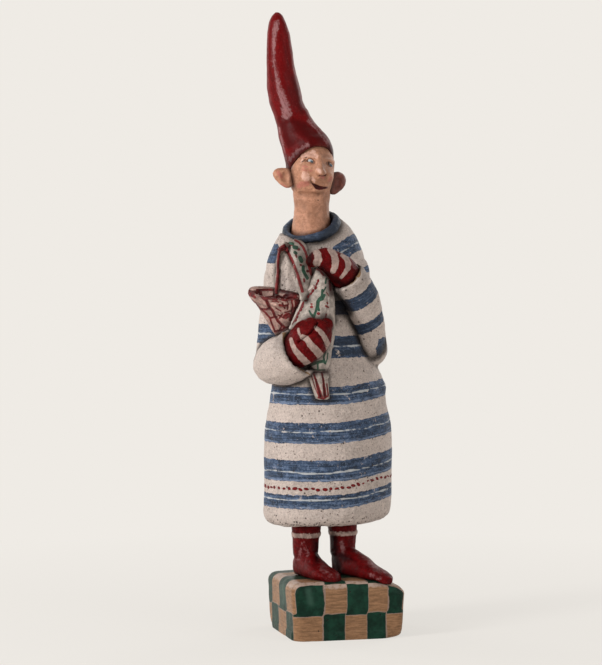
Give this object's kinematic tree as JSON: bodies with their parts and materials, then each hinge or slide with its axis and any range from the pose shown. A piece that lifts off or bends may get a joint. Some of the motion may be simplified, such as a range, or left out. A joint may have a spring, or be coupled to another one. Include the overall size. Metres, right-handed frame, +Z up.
{
  "type": "christmas elf figure",
  "caption": "Tall painted nisse figure in a pointed hat and striped gown, hugging folded-paper Christmas ornaments, standing on a chequered block.",
  "frame": {"origin": "middle of the felt's underside, on the surface that the figure stands on", "axes": "+Z up through the block and the figure, +X to the right and -Y to the front of the block, square with its sides"},
  "size_m": [0.0874, 0.0729, 0.3563],
  "materials": {
    "felt": "dark green felt pad",
    "plinth_paint": "cast stone and resin, painted in green and tan checks, satin varnish",
    "steel": "plain steel rod, hidden inside the castings",
    "boot_paint": "cast stone and resin, dark red paint with a white band, satin varnish",
    "gown_paint": "cast stone and resin, off-white paint with brushed blue stripes, pitted, matt",
    "collar_paint": "cast stone and resin, brushed blue paint, satin",
    "mitten_paint": "cast stone and resin, red and white stripes, satin varnish",
    "skin_paint": "cast stone and resin, warm skin paint with rosy cheeks, satin",
    "hat_lacquer": "cast stone and resin, deep red lacquer with brushed lights, glossy",
    "basket_paint": "cast stone and resin, pinkish white with a dark red lattice",
    "ornament_paint": "cast stone and resin, white with red borders and green leaves, satin"
  },
  "bodies": {
    "root": {"felt_base": "felt", "plinth": "plinth_paint", "leg_rod_right": "steel", "leg_rod_left": "steel", "boot_right": "boot_paint", "boot_left": "boot_paint", "gown": "gown_paint", "collar": "collar_paint", "sleeve_right": "gown_paint", "sleeve_left": "gown_paint", "wrist_pin_right": "steel", "wrist_pin_left": "steel", "mitten_right": "mitten_paint", "mitten_left": "mitten_paint", "head": "skin_paint", "ear_right": "skin_paint", "ear_left": "skin_paint", "hat": "hat_lacquer", "woven_basket": "basket_paint", "basket_handle": "ornament_paint", "paper_cone": "ornament_paint", "cone_tip": "ornament_paint"}
  },
  "joints": []
}
